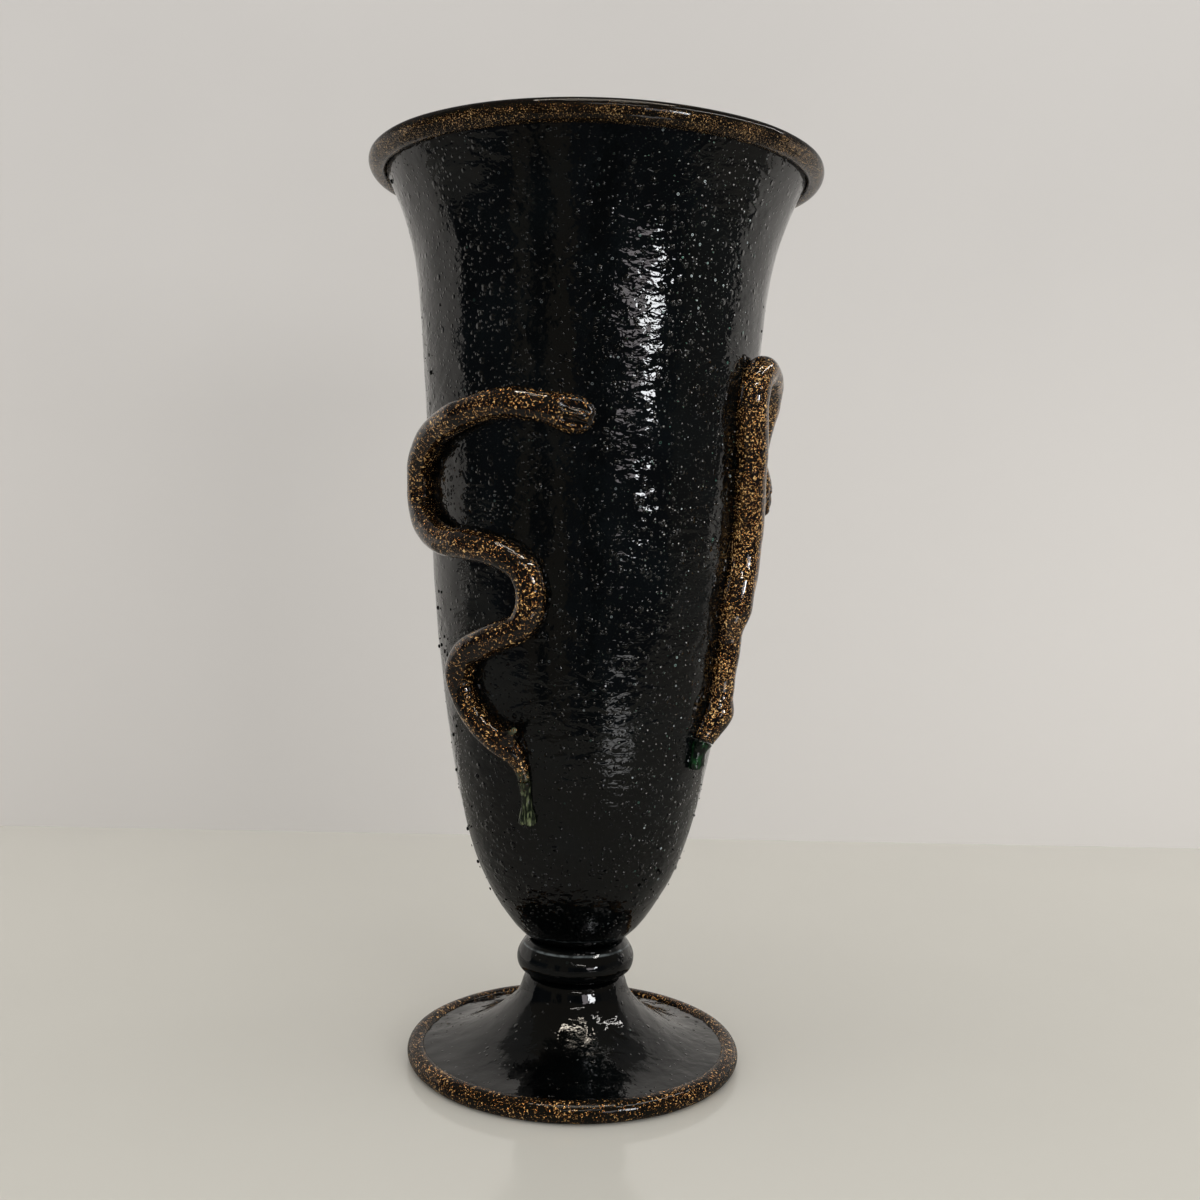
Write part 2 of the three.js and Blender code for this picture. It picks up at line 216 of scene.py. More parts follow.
# %% [markdown]
# ## Setting up the stage
#
# The wall is turned a little, as in the picture. It would hide the vase from a camera that looks at
# the vase's back, so the wall's own back is transparent, and one scene serves all views.

# %% Table and wall
WALL_DISTANCE = 0.435
WALL_TURN = math.radians(1.6)
WALL_HEIGHT = 2.6
STAGE_HALF_WIDTH = 2.6
TABLE_FRONT = -0.40
TABLE_COLOUR = (0.70, 0.684, 0.622, 1)
WALL_COLOUR = (0.63, 0.612, 0.595, 1)
TABLE_IN_MIRROR = 0.37
WALL_TOP_IN_MIRROR = 0.25
WALL_DIMS_BETWEEN = (0.5, 0.8)


def open_from_behind(paint):
    """Makes the paint transparent on the back of its faces."""
    tree = paint.node_tree
    behind = add(tree, "ShaderNodeNewGeometry").outputs["Backfacing"]
    painted = tree.nodes["Principled BSDF"].outputs["BSDF"]
    clear = add(tree, "ShaderNodeBsdfTransparent").outputs["BSDF"]
    one_sided = add(tree, "ShaderNodeMixShader", {0: behind, 1: painted, 2: clear})
    tree.links.new(one_sided.outputs["Shader"], tree.nodes["Material Output"].inputs["Surface"])


along_wall = Vector((math.cos(WALL_TURN), math.sin(WALL_TURN), 0))
left_end = Vector((0, WALL_DISTANCE, 0)) - along_wall * STAGE_HALF_WIDTH
right_end = Vector((0, WALL_DISTANCE, 0)) + along_wall * STAGE_HALF_WIDTH
up = Vector((0, 0, WALL_HEIGHT))
wall_paint = stage_paint(
    "wall_paint", WALL_COLOUR, roughness=0.9, in_mirror=WALL_TOP_IN_MIRROR,
    from_height=WALL_DIMS_BETWEEN, painted_light_low_right=0.28,
)
open_from_behind(wall_paint)
plane("stage_wall", [left_end, right_end, right_end + up, left_end + up], wall_paint)
front_left = Vector((-STAGE_HALF_WIDTH, TABLE_FRONT, 0))
front_right = Vector((STAGE_HALF_WIDTH, TABLE_FRONT, 0))
lacquer = stage_paint("table_lacquer", TABLE_COLOUR, roughness=0.12, in_mirror=TABLE_IN_MIRROR)
table = plane("stage_table", [front_left, front_right, right_end, left_end], lacquer)

# %% [markdown]
# ## Light
#
# Black glass shows hardly any colour of its own: what is seen is the room, mirrored. So the lamps
# are placed by what they mirror, and are area lamps, because a mirror shows their shape. Some are
# only mirrored: they draw a glint on the glass and light no matt surface. Light linking leaves the
# table out, or its gloss would show them as white patches when it is seen from behind.

# %% A helper for lamps
not_the_table = bpy.data.collections.new("all_but_the_table")
not_the_table.objects.link(table)
not_the_table.collection_objects[0].light_linking.link_state = "EXCLUDE"


def lamp(name, place, target, width, height, power, colour, only_mirrored=False, roll=0.0):
    """A rectangular lamp that looks at the target, turned by roll about its own line of sight."""
    data = bpy.data.lights.new(name, "AREA")
    data.shape = "RECTANGLE"
    data.size = width
    data.size_y = height
    data.energy = power
    data.color = colour
    made = bpy.data.objects.new(name, data)
    aim = (Vector(target) - Vector(place)).to_track_quat("-Z", "Y")
    turned = aim.to_matrix().to_4x4() @ Matrix.Rotation(roll, 4, "Z")
    made.matrix_world = Matrix.Translation(place) @ turned
    made.visible_diffuse = not only_mirrored
    if only_mirrored:
        made.light_linking.receiver_collection = not_the_table
    bpy.context.scene.collection.objects.link(made)
    return made


print("the table is left out by", not_the_table.name)

# %% [markdown]
# ## The window
#
# A window to the right front gives the broken highlight on the bowl and the soft shadow on the wall
# to the left. It is made twice at the same place: as daylight on everything, and as the image that
# the glass mirrors. Two brighter strips hang just before it, a curtain's edge and a pane. A small
# lamp on the table is the window's image there, which the lower bowl mirrors once more, and a long
# thin one high on the right draws the line of light on the lip.

# %% Window and glints
WINDOW_AWAY = 1.7
GLINT_AWAY = 1.68
WINDOW_MIDDLE = 0.51
WINDOW_TALL = 0.39
VASE_MIDDLE = (0, 0, 0.27)


def window(name, *place_size_and_light):
    """A window lights everything, but only the vase mirrors it; the table's gloss leaves it out."""
    daylight = lamp(name, *place_size_and_light)
    daylight.visible_glossy = daylight.visible_transmission = False
    lamp(name + "_mirrored", *place_size_and_light, only_mirrored=True)


def around(degrees, distance, height):
    """A place round the vase, in degrees from its front, the right being positive."""
    angle = math.radians(degrees)
    return (distance * math.sin(angle), -distance * math.cos(angle), height)


for name, degrees, width, power, colour in (
    ("window_pane", 30, 0.62, 3.9, (1.0, 0.98, 0.95)),
    ("window_sky", 50, 0.36, 0.8, (0.75, 0.87, 1.0)),
):
    place = around(degrees, WINDOW_AWAY, WINDOW_MIDDLE)
    window(name, place, VASE_MIDDLE, width, WINDOW_TALL, power, colour)

before_curtain = around(26, GLINT_AWAY, WINDOW_MIDDLE)
before_pane = around(38, GLINT_AWAY, WINDOW_MIDDLE)
over_door = around(8, 1.6, 1.25)
cornice, lip_front = (0.87, -0.2, 1.17), (0, -0.05, 0.4)
spot_on_table, above_spot = (0.19, -0.34, 0.003), (0.19, -0.34, 1)
for name, place, target, width, height, power, colour, roll in (
    ("curtain_glint", before_curtain, VASE_MIDDLE, 0.36, WINDOW_TALL, 1.6, (1.0, 0.93, 0.95), 0),
    ("pane_glint", before_pane, VASE_MIDDLE, 0.22, WINDOW_TALL, 7.0, (0.96, 0.98, 1.0), 0),
    ("transom_glint", over_door, VASE_MIDDLE, 0.8, 0.05, 2.0, (1.0, 0.95, 0.88), 0),
    ("cornice_glint", cornice, lip_front, 1.25, 0.045, 4.0, (1.0, 0.97, 0.92), -13),
    ("window_on_table", spot_on_table, above_spot, 0.14, 0.12, 0.12, (1, 1, 1), 0),
):
    lamp(name, place, target, width, height, power, colour, True, math.radians(roll))

# %% [markdown]
# ## The ceiling
#
# Glass that faces upwards, as the foot and the collar's shoulder do, mirrors the ceiling: a frame
# of warm tubes round a dim panel, and one more tube towards the front. They are only mirrored too.

# %% Ceiling lamps
CEILING_HEIGHT = 1.9
CEILING_FRAME = (-0.52, -0.54, 0.62, -0.28)
TUBE = 0.05
FRONT_TUBE_AHEAD = 0.42
WARM = (1.0, 0.9, 0.76)


def ceiling_lamp(name, x, y, width, depth, power):
    lamp(name, (x, y, CEILING_HEIGHT), (x, y, 0), width, depth, power, WARM, only_mirrored=True)


left, near, right, far = CEILING_FRAME
middle_x, middle_y, wide, deep = (left + right) / 2, (near + far) / 2, right - left, far - near
ceiling_lamp("ceiling_panel", middle_x, middle_y, wide - TUBE, deep - TUBE, 1.2)
ceiling_lamp("tube_front", middle_x, near - FRONT_TUBE_AHEAD, 0.8, TUBE, 3.0)
for name, y in (("tube_near", near), ("tube_far", far)):
    ceiling_lamp(name, middle_x, y, wide + TUBE, TUBE, 4.4)
for name, x in (("tube_left", left), ("tube_right", right)):
    ceiling_lamp(name, x, middle_y, TUBE, deep - TUBE, 1.0)
print("ceiling frame", round(wide, 2), "by", round(deep, 2), "m")

# %% [markdown]
# ## The room
#
# The rest is the room: an even light from all round, in which tall panels stand, paler and darker,
# as walls, a doorway and furniture do. A world shader gets the direction of each ray. Its angle
# round the vase is found with an arctangent, and each panel is added between two such angles, grey,
# bluish or brownish. Overhead is a warm ceiling. The camera and matt surfaces get the even light
# only; mirrored rays see the panels, and see them deep, as the photograph shows them.

# %% World
ROOM_LIGHT = 1.0
GREY, NAVY, BROWN = (1.0, 0.985, 0.965), (0.86, 0.96, 1.16), (1.09, 0.98, 0.82)
MIRRORED_GROUND = 0.034
MIRRORED_CEILING = 0.13
CEILING_FADES_IN = (0.25, 0.45)
PANEL_EDGE = math.radians(1.8)
PANELS = [
    (-108, -98, 0.30, GREY), (-80, -50, 0.05, NAVY), (-49, -39, 0.13, BROWN),
    (-28, -13, 0.12, BROWN), (-13, -2, 0.06, NAVY), (12, 60, 0.06, NAVY), (60, 100, 0.10, GREY),
]

world = bpy.data.worlds.new("room")
world.use_nodes = True
room = world.node_tree
room.nodes.clear()
direction = add(room, "ShaderNodeTexCoord").outputs["Generated"]
ray = add(room, "ShaderNodeSeparateXYZ", {"Vector": direction})
towards_front = math_of(room, "MULTIPLY", ray.outputs["Y"], -1.0)
angle_round = math_of(room, "ARCTAN2", ray.outputs["X"], towards_front)
mirrored_room = scaled_colour(NAVY, MIRRORED_GROUND)
for start, end, brightness, tint in PANELS:
    start, end = math.radians(start), math.radians(end)
    rise = ramp(room, angle_round, start - PANEL_EDGE, start + PANEL_EDGE)
    fall = ramp(room, angle_round, end - PANEL_EDGE, end + PANEL_EDGE, 1.0, 0.0)
    inside = math_of(room, "MULTIPLY", rise, fall)
    mirrored_room = blend(room, inside, mirrored_room, scaled_colour(tint, brightness))
overhead = ramp(room, ray.outputs["Z"], *CEILING_FADES_IN)
mirrored_room = blend(room, overhead, mirrored_room, scaled_colour(WARM, MIRRORED_CEILING))
is_mirrored = add(room, "ShaderNodeLightPath").outputs["Is Glossy Ray"]
seen = blend(room, is_mirrored, scaled_colour(GREY, ROOM_LIGHT), mirrored_room)
background = add(room, "ShaderNodeBackground", {"Color": seen})
add(room, "ShaderNodeOutputWorld", {"Surface": background.outputs[0]})
bpy.context.scene.world = world
bpy.context.scene.view_settings.view_transform = "Standard"
print("room with", len(PANELS), "panels")

# %% [markdown]
# ## Reading a turned piece's outline
#
# Foot, collar, bowl and beads are round about the vase's axis. Their solids are cut here by an
# upright plane, and the cut's front half is the outline to turn. Reading it from the frame keeps
# the dressed piece on the solid without repeating its sizes.

# %% Outlines from the frame
MERGE = 1e-6


def outline_of(node):
    """The half outline of a turned node, in (radius, height), from the axis up or right round."""
    shell = bmesh.new()
    shell.from_mesh(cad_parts[node].data)
    bmesh.ops.remove_doubles(shell, verts=shell.verts, dist=MERGE)
    everything = [*shell.verts, *shell.edges, *shell.faces]
    cut = bmesh.ops.bisect_plane(
        shell, geom=everything, dist=1e-5, plane_co=(0, 0, 0), plane_no=(1, 0, 0),
    )
    edges = [e for e in cut["geom_cut"] if isinstance(e, bmesh.types.BMEdge)]
    neighbours = {}
    for edge in edges:
        a, b = edge.verts
        if a.co.y + b.co.y < -MERGE:
            neighbours.setdefault(a, []).append(b)
            neighbours.setdefault(b, []).append(a)
    ends = [v for v, others in neighbours.items() if len(others) == 1]
    start = min(ends or neighbours, key=lambda v: v.co.z)
    chain = [start]
    while True:
        onward = [v for v in neighbours[chain[-1]] if v not in chain[-2:] and v is not start]
        if not onward:
            break
        chain.append(onward[0])
    line = [(max(0.0, -v.co.y), v.co.z) for v in chain]
    shell.free()
    return line


bowl_line = outline_of("bowl")
for name in ("foot", "collar", "bowl", "lip_wrap", "foot_wrap"):
    print(name, "outline has", len(outline_of(name)), "points")

# %% [markdown]
# ## Turning a piece
#
# An outline of a few points is spun into a cage, and a Subdivision Surface rounds it, as a gather
# of glass rounds itself. The rounded cage is then made real, so that its own points can be moved: a
# low, uneven relief over the whole skin stands for the marks of the wooden block that shaped it.

# %% Turning and relief
def rounded(piece, levels):
    """Applies a Subdivision Surface, so that the piece's own points can be shaped afterwards."""
    modifier = piece.modifiers.new("rounding", "SUBSURF")
    modifier.levels = levels
    modifier.render_levels = levels
    evaluated = piece.evaluated_get(bpy.context.evaluated_depsgraph_get())
    finished = bpy.data.meshes.new_from_object(evaluated)
    piece.modifiers.clear()
    piece.data = finished
    return piece


def as_piece(name, shape):
    mesh = bpy.data.meshes.new(name)
    shape.to_mesh(mesh)
    shape.free()
    piece = bpy.data.objects.new(name, mesh)
    bpy.context.scene.collection.objects.link(piece)
    return piece


def turned_cage(line, steps, closed):
    """Spins an outline about the vase's axis; poles and the seam are closed."""
    shape = bmesh.new()
    points = [shape.verts.new((radius, 0, height)) for radius, height in line]
    pairs = list(zip(points, points[1:]))
    if closed:
        pairs.append((points[-1], points[0]))
    edges = [shape.edges.new(pair) for pair in pairs]
    bmesh.ops.spin(
        shape, geom=[*points, *edges], cent=(0, 0, 0), axis=(0, 0, 1),
        angle=2 * math.pi, steps=steps, use_merge=True,
    )
    bmesh.ops.remove_doubles(shape, verts=shape.verts, dist=MERGE)
    bmesh.ops.recalc_face_normals(shape, faces=shape.faces)
    return shape


def relief_at(point, waves):
    """How far smooth waves, given as (length, height), lift the skin at a point."""
    return sum(height * noise.noise(point / length) for length, height in waves)


def hammered(shape, waves, swell=0.0):
    """Moves every point along its normal, by swell and by the waves' relief."""
    shape.normal_update()
    moves = []
    for vert in shape.verts:
        moves.append((vert, vert.normal * (swell + relief_at(vert.co, waves))))
    for vert, move in moves:
        vert.co += move
        vert.co.z = min(max(vert.co.z, cad_low.z), cad_high.z)


def smooth_shaded(piece):
    for face in piece.data.polygons:
        face.use_smooth = True


def stands_for(piece, node):
    """Smooths the piece's shading, puts it in the node's place and lets it ride on the body."""
    smooth_shaded(piece)
    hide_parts(node)
    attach(piece, "root")
    print(piece.name, len(piece.data.polygons), "faces")
    return piece


def turned_piece(name, line, node, steps, waves, swell=0.0, closed=False):
    """A turned line as a piece, rounded and hammered. swell closes the seam to the next piece."""
    piece = rounded(as_piece(name, turned_cage(line, steps, closed)), 2)
    shape = bmesh.new()
    shape.from_mesh(piece.data)
    hammered(shape, waves, swell)
    shape.to_mesh(piece.data)
    shape.free()
    return stands_for(piece, node)


print("turning ready")

# %% [markdown]
# ## Foot, collar and bowl
#
# The foot was swung open into a trumpet and is smoother than the bowl. The collar is a ring of
# glass, wound on, and where the bowl was set on it a low fillet has formed, given as radii and
# rises above the collar's top. The bowl's skin is the most uneven. Waves are given as pairs of
# length and height.
#
# The solids keep a seam between neighbours, but the real pieces are fused: so a bead's outline is
# made whole again, as the hull of its points, and closes over the edge that it holds.

# %% Turned pieces
def whole_bead(node, fuller):
    """A bead's outline without the notch for the edge; fuller makes up for what rounding takes."""
    line = outline_of(node)
    line = [Vector(line[i]) for i in geometry.convex_hull_2d(line)]
    middle = sum(line, Vector((0, 0))) / len(line)
    return [tuple(middle + (point - middle) * fuller) for point in line]


FILLET = [(0.0238, -0.0001), (0.0229, 0.0010), (0.0221, 0.0020), (0.0205, 0.0024)]
FILLET_ROOM = 0.0006
collar_line = outline_of("collar")
collar_top = max(height for radius, height in collar_line)
below_joint = [
    (radius, height) for radius, height in collar_line
    if not (height > collar_top - FILLET_ROOM and radius < FILLET[0][0])
]
fillet = [(radius, collar_top + rise) for radius, rise in FILLET]
collar_line = [*below_joint, *fillet, (0.0, fillet[-1][1])]

FOOT_WAVES = [(0.016, 0.0003), (0.006, 0.00012)]
COLLAR_WAVES = [(0.014, 0.0003), (0.005, 0.0001)]
BOWL_WAVES = [(0.017, 0.0003), (0.0075, 0.00016)]
foot = turned_piece("foot_glass", outline_of("foot"), "foot", 64, FOOT_WAVES, swell=0.0003)
collar = turned_piece("collar_glass", collar_line, "collar", 48, COLLAR_WAVES, swell=0.0002)
bowl = turned_piece("bowl_glass", bowl_line, "bowl", 64, BOWL_WAVES, swell=0.0001)
lip_line, foot_bead_line = whole_bead("lip_wrap", 1.04), whole_bead("foot_wrap", 1.03)
lip_bead = turned_piece("lip_bead", lip_line, "lip_wrap", 96, [(0.03, 0.0002)], closed=True)
foot_bead = turned_piece(
    "foot_bead", foot_bead_line, "foot_wrap", 80, [(0.025, 0.0002)], closed=True,
)

# %% [markdown]
# ## The line of the wall
#
# The snakes follow the wall, so the wall's radius and its outward direction are needed at any
# height. The outer part of the bowl's outline gives them, once a smooth line runs through it. The
# same helper later draws each snake's route. It is the centripetal form of the Catmull-Rom line,
# which goes through every point and makes no loops between close ones.

# %% Smooth lines
def between(first, last, low, high, t):
    share = (t - low) / (high - low)
    return first * (1 - share) + last * share


def smooth_through(points, pieces):
    """A smooth line through all points, with so many pieces from one point to the next."""
    padded = [points[0] * 2 - points[1], *points, points[-1] * 2 - points[-2]]
    line = []
    for a, b, c, d in zip(padded, padded[1:], padded[2:], padded[3:]):
        t1 = math.sqrt((b - a).length)
        t2 = t1 + math.sqrt((c - b).length)
        t3 = t2 + math.sqrt((d - c).length)
        for i in range(pieces):
            t = t1 + (t2 - t1) * i / pieces
            middle = between(b, c, t1, t2, t)
            first = between(between(a, b, 0, t1, t), middle, 0, t2, t)
            last = between(middle, between(c, d, t2, t3, t), t1, t3, t)
            line.append(between(first, last, t1, t2, t))
    return [*line, points[-1]]


def run_of(line):
    """The distance from the start to each point of a line."""
    run = [0.0]
    for start, end in zip(line, line[1:]):
        run.append(run[-1] + (end - start).length)
    return run


widest = max(range(len(bowl_line)), key=lambda i: bowl_line[i][0])
outer = [Vector((radius, height)) for radius, height in bowl_line[1:widest + 1]]
wall_line = smooth_through(outer, 8)
wall_heights = [point.y for point in wall_line]


def wall_at(height):
    """The wall's outer radius and its outward normal, as (outward, upward), at a height."""
    i = min(max(bisect.bisect(wall_heights, height), 2), len(wall_line) - 2)
    before, after = wall_line[i - 1], wall_line[i]
    share = (height - before.y) / (after.y - before.y)
    along = (wall_line[i + 1] - wall_line[i - 2]).normalized()
    return before.x + (after.x - before.x) * share, Vector((along.y, -along.x))


def on_wall(degrees, height):
    """A point of the wall at an angle round the vase from its front, with the outward normal."""
    radius, normal = wall_at(height)
    angle = math.radians(degrees)
    outward = Vector((math.sin(angle), -math.cos(angle), 0))
    return outward * radius + Vector((0, 0, height)), outward * normal.x + Vector((0, 0, normal.y))


print("wall radius at 0.2 m:", round(wall_at(0.2)[0], 4))

# %% [markdown]
# ## Blisters
#
# Bubbles rose to the skin of the bowl and stand out as tiny domes, which can be seen against the
# wall at the vase's sides. Each is a flattened ball of a few dozen faces, sunk half into the wall,
# and all of them are part of the bowl. A seeded draw gives their angles and heights, so they are
# the same each run; to pick them from the mesh's faces would not be, because their order varies.

# %% Blisters on the bowl
BLISTERS = 900
BLISTER_RADIUS = (0.0003, 0.00105)
BLISTER_LOW = 0.072
BLISTER_HIGH = 0.388


def outward_matrix(point, normal, sizes):
    """A frame with its third axis along the normal, scaled by sizes and set at the point."""
    turn = normal.to_track_quat("Z", "Y").to_matrix()
    return Matrix.Translation(point) @ turn.to_4x4() @ Matrix.Diagonal((*sizes, 1))


def blister_ball():
    ball = bmesh.new()
    bmesh.ops.create_uvsphere(ball, u_segments=8, v_segments=5, radius=1)
    blister = bpy.data.meshes.new("blister")
    ball.to_mesh(blister)
    ball.free()
    return blister


def add_blisters(piece, count, seed):
    """Joins seeded blisters to the piece; most are small, because the draw is cubed."""
    draw = random.Random(seed)
    blister = blister_ball()
    shape = bmesh.new()
    shape.from_mesh(piece.data)
    smallest, largest = BLISTER_RADIUS
    for _ in range(count):
        point, normal = on_wall(draw.uniform(-180, 180), draw.uniform(BLISTER_LOW, BLISTER_HIGH))
        point += normal * relief_at(point, BOWL_WAVES)
        size = smallest + (largest - smallest) * draw.random() ** 3
        longer = draw.uniform(1.0, 1.5)
        dome = outward_matrix(point, normal, (size * longer, size, size * draw.uniform(0.35, 0.65)))
        blister.transform(dome)
        shape.from_mesh(blister)
        blister.transform(dome.inverted())
    shape.to_mesh(piece.data)
    shape.free()
    smooth_shaded(piece)


add_blisters(bowl, BLISTERS, seed=11)
print("bowl with blisters:", len(bowl.data.polygons), "faces")

# %% [markdown]
# ## The snakes' routes
#
# Each snake was drawn from hot speckled glass and laid on the wall by hand, so its route is a
# hand's movement and is kept as places chosen one by one: degrees round the vase from its front,
# and hundredths of the bowl's height. The radii are half widths of the cane along it. All are the
# same as the solid's.

# %% Routes and radii
LEFT = {
    "head": 0.021, "head_radius": 0.0076, "neck_radius": 0.0064, "body_radius": 0.0062,
    "tail_radius": 0.0054, "join_radius": 0.0027, "waist_radius": 0.0021, "end_radius": 0.0039,
    "tail": 0.044, "tip": 0.019, "bulge_radius": 0.0056, "bulge_back": 0.022,
    "route": [
        (1.7, 67.5), (-4, 68), (-14, 68.8), (-25, 69.3), (-38, 68.6), (-54, 66.8),
        (-66.5, 64.3), (-74.5, 60.9), (-75.5, 57.7), (-67, 55), (-54, 53.1),
        (-39, 52.6), (-28.5, 51.8), (-20.5, 50.1), (-17.5, 47.1), (-20.5, 43.6),
        (-33, 41.5), (-44.5, 39.5), (-49.8, 36.7), (-48.5, 33.9), (-42, 31.4),
        (-33.5, 29.5), (-27.3, 27.7), (-24, 25.2), (-23.3, 22.6), (-23, 20), (-23.2, 18.8),
    ],
}
RIGHT = {
    "head": 0.028, "head_radius": 0.0076, "neck_radius": 0.0059, "body_radius": 0.0069,
    "tail_radius": 0.0052, "join_radius": 0.0049, "waist_radius": 0.0041, "end_radius": 0.0045,
    "tail": 0.046, "tip": 0.012, "bulge_radius": 0.0063, "bulge_back": 0.014,
    "route": [
        (86.5, 56.8), (87.5, 58.7), (88.6, 61.5), (89, 64.6), (88.3, 67.7), (85.2, 70.6),
        (79.6, 73.1), (73, 74.6), (66.6, 75), (62.4, 73.8), (60.9, 71.6), (61.4, 69.1),
        (63, 66.6), (64.6, 64), (65, 61.4), (66.2, 58.3), (67, 54.6), (66.8, 50.9),
        (64.4, 47.6), (63.5, 44), (65, 40.2), (63.9, 37.3), (64.6, 34.9), (63.3, 32.6),
        (60, 30.4), (57.2, 28.8), (56.2, 27), (57, 25.4),
    ],
}
print("places on the routes:", len(LEFT["route"]), "left,", len(RIGHT["route"]), "right")

# %% [markdown]
# ## A cane's sections
#
# A curve with a bevel could make the canes, but the head and the tip are flattened against the wall
# and the cane is seated a little in it. So each section is a matrix of its own, whose axes lie
# across the cane, outwards from the wall, and along the cane.

# %% Sections along a cane
BOWL_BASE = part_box("bowl")[0].z
BOWL_HEIGHT = 0.3406
SEAT = 0.0019
SNOUT = 0.008
HEAD_FLATTENING = 0.86
TIP_FLATTENING = 0.75
PIECES_BETWEEN = 14


def read_off(pairs, place):
    """Smooth reading between (place, value) pairs."""
    if place <= pairs[0][0]:
        return pairs[0][1]
    for (start, before), (end, after) in zip(pairs, pairs[1:]):
        if place <= end:
            share = (place - start) / max(end - start, 1e-9)
            share = share * share * (3 - 2 * share)
            return before + (after - before) * share
    return pairs[-1][1]


class Cane:
    """One snake's run along the wall: its length, where its green tip starts, and its sections."""

    def __init__(self, snake):
        places = [
            on_wall(degrees, BOWL_BASE + BOWL_HEIGHT * hundredths / 100)[0]
            for degrees, hundredths in snake["route"]
        ]
        self.line = smooth_through(places, PIECES_BETWEEN)
        self.run = run_of(self.line)
        self.length = self.run[-1]
        self.join = self.length - snake["tip"]
        join, head = self.join, snake["head"]
        self.girths = [
            (0, snake["head_radius"]), (head / 2, snake["head_radius"]),
            (head, snake["neck_radius"]),
            (head * 2.5, snake["body_radius"]), (join - snake["tail"] * 1.3, snake["body_radius"]),
            (join - snake["tail"], snake["tail_radius"]),
            (join - snake["bulge_back"] * 1.6, snake["tail_radius"]),
            (join - snake["bulge_back"], snake["bulge_radius"]), (join, snake["join_radius"]),
            (join + snake["tip"] * 0.4, snake["waist_radius"]), (self.length, snake["end_radius"]),
        ]
        self.flatness = [
            (0, HEAD_FLATTENING), (head, HEAD_FLATTENING), (head * 1.8, 1),
            (join - snake["bulge_back"], 1), (self.length, TIP_FLATTENING),
        ]

    def section(self, distance):
        """The matrix that sets a unit circle as the cane's section at a distance from the snout."""
        i = min(max(bisect.bisect(self.run, distance), 1), len(self.line) - 1)
        share = (distance - self.run[i - 1]) / (self.run[i] - self.run[i - 1])
        place = self.line[i - 1].lerp(self.line[i], share)
        ahead, back = self.line[min(i + 1, len(self.line) - 1)], self.line[max(i - 2, 0)]
        along = (ahead - back).normalized()
        point, outward = on_wall(math.degrees(math.atan2(place.x, -place.y)), place.z)
        across = outward.cross(along).normalized()
        nose = min(1.0, distance / SNOUT)
        nose = math.sqrt(max(0.0, 1 - (1 - nose) ** 2))
        girth = read_off(self.girths, distance)
        rise = girth * read_off(self.flatness, distance)
        centre = point + outward * (rise - min(SEAT, rise * 0.6))
        columns = (across * girth * nose, outward * rise * nose, along)
        turn = Matrix(columns).transposed()
        return Matrix.Translation(centre) @ turn.to_4x4()


left_cane = Cane(LEFT)
right_cane = Cane(RIGHT)
print("canes are", round(left_cane.length, 3), "and", round(right_cane.length, 3), "m long")

# %% [markdown]
# ## Drawing out a cane
#
# A cane starts as one ring of points and is drawn out ring by ring: the last ring's edges are
# extruded, and the new ring is moved to the next section. It is what the maker does with the hot
# glass. Each point keeps how far along and how far round it is, so that the marks can find it.

# %% Extruding a cane
CANE_SIDES = 44
CANE_STEP = 0.0009
LEAST_STEP = 0.0004


def edges_within(ring):
    """The edges whose two points both belong to the ring, always in the same order."""
    return list(dict.fromkeys(e for v in ring for e in v.link_edges if e.other_vert(v) in ring))


def drawn_cane(cane, start, end, nose_stops=()):
    """A closed cane from start to end, with closer rings at nose_stops, where the snout rounds."""
    shape = bmesh.new()
    along_layer = shape.verts.layers.float.new("along")
    turn_layer = shape.verts.layers.float.new("turn")
    count = max(2, round((end - start) / CANE_STEP))
    even_stops = [start + (end - start) * i / count for i in range(count + 1)]
    after_nose = max(nose_stops, default=-1) + LEAST_STEP
    stops = [*nose_stops, *(stop for stop in even_stops if stop > after_nose)]
    section = cane.section(stops[0])
    circle = bmesh.ops.create_circle(
        shape, cap_ends=False, segments=CANE_SIDES, radius=1, matrix=section,
    )
    ring = circle["verts"]
    first_ring = list(ring)
    for vert in ring:
        vert[along_layer] = stops[0]
        local = section.inverted() @ vert.co
        vert[turn_layer] = math.atan2(local.x, local.y)
    for stop in stops[1:]:
        drawn = bmesh.ops.extrude_edge_only(shape, edges=edges_within(ring))["geom"]
        ring = [item for item in drawn if isinstance(item, bmesh.types.BMVert)]
        onward = cane.section(stop)
        bmesh.ops.transform(shape, matrix=onward @ section.inverted(), verts=ring)
        for vert in ring:
            vert[along_layer] = stop
        section = onward
    for loop in (first_ring, ring):
        bmesh.ops.edgeloop_fill(shape, edges=edges_within(loop))
    bmesh.ops.recalc_face_normals(shape, faces=shape.faces)
    return shape, along_layer, turn_layer


print("a cane has", CANE_SIDES, "sides and a ring every", CANE_STEP * 1000, "mm")

# %% [markdown]
# ## Marks and the pinched spur
#
# Two oval marks were pressed into the head, and a spur was pinched out of the tail. A boolean would
# cut hard edges, and hot glass has none, so the cane's own points are sunk, with a low rim round
# them, or pulled out. A layer keeps how far each was moved, because the flecks thin out there.

# %% Pressing and pinching
MARK_RIM = 0.2
MARK_RIM_AT = 1.1
MARK_RIM_WIDTH = 0.12
SPUR_TURN = 1.25
SPUR_HALF_LENGTH = 0.0042
SPUR_HALF_TURN = 0.8
HEAD_MARKS = [
    (0.0078, 0.42, 0.0062, 0.34, 0.0023, -9),
    (0.0078, -0.42, 0.0062, 0.34, 0.0023, 9),
]


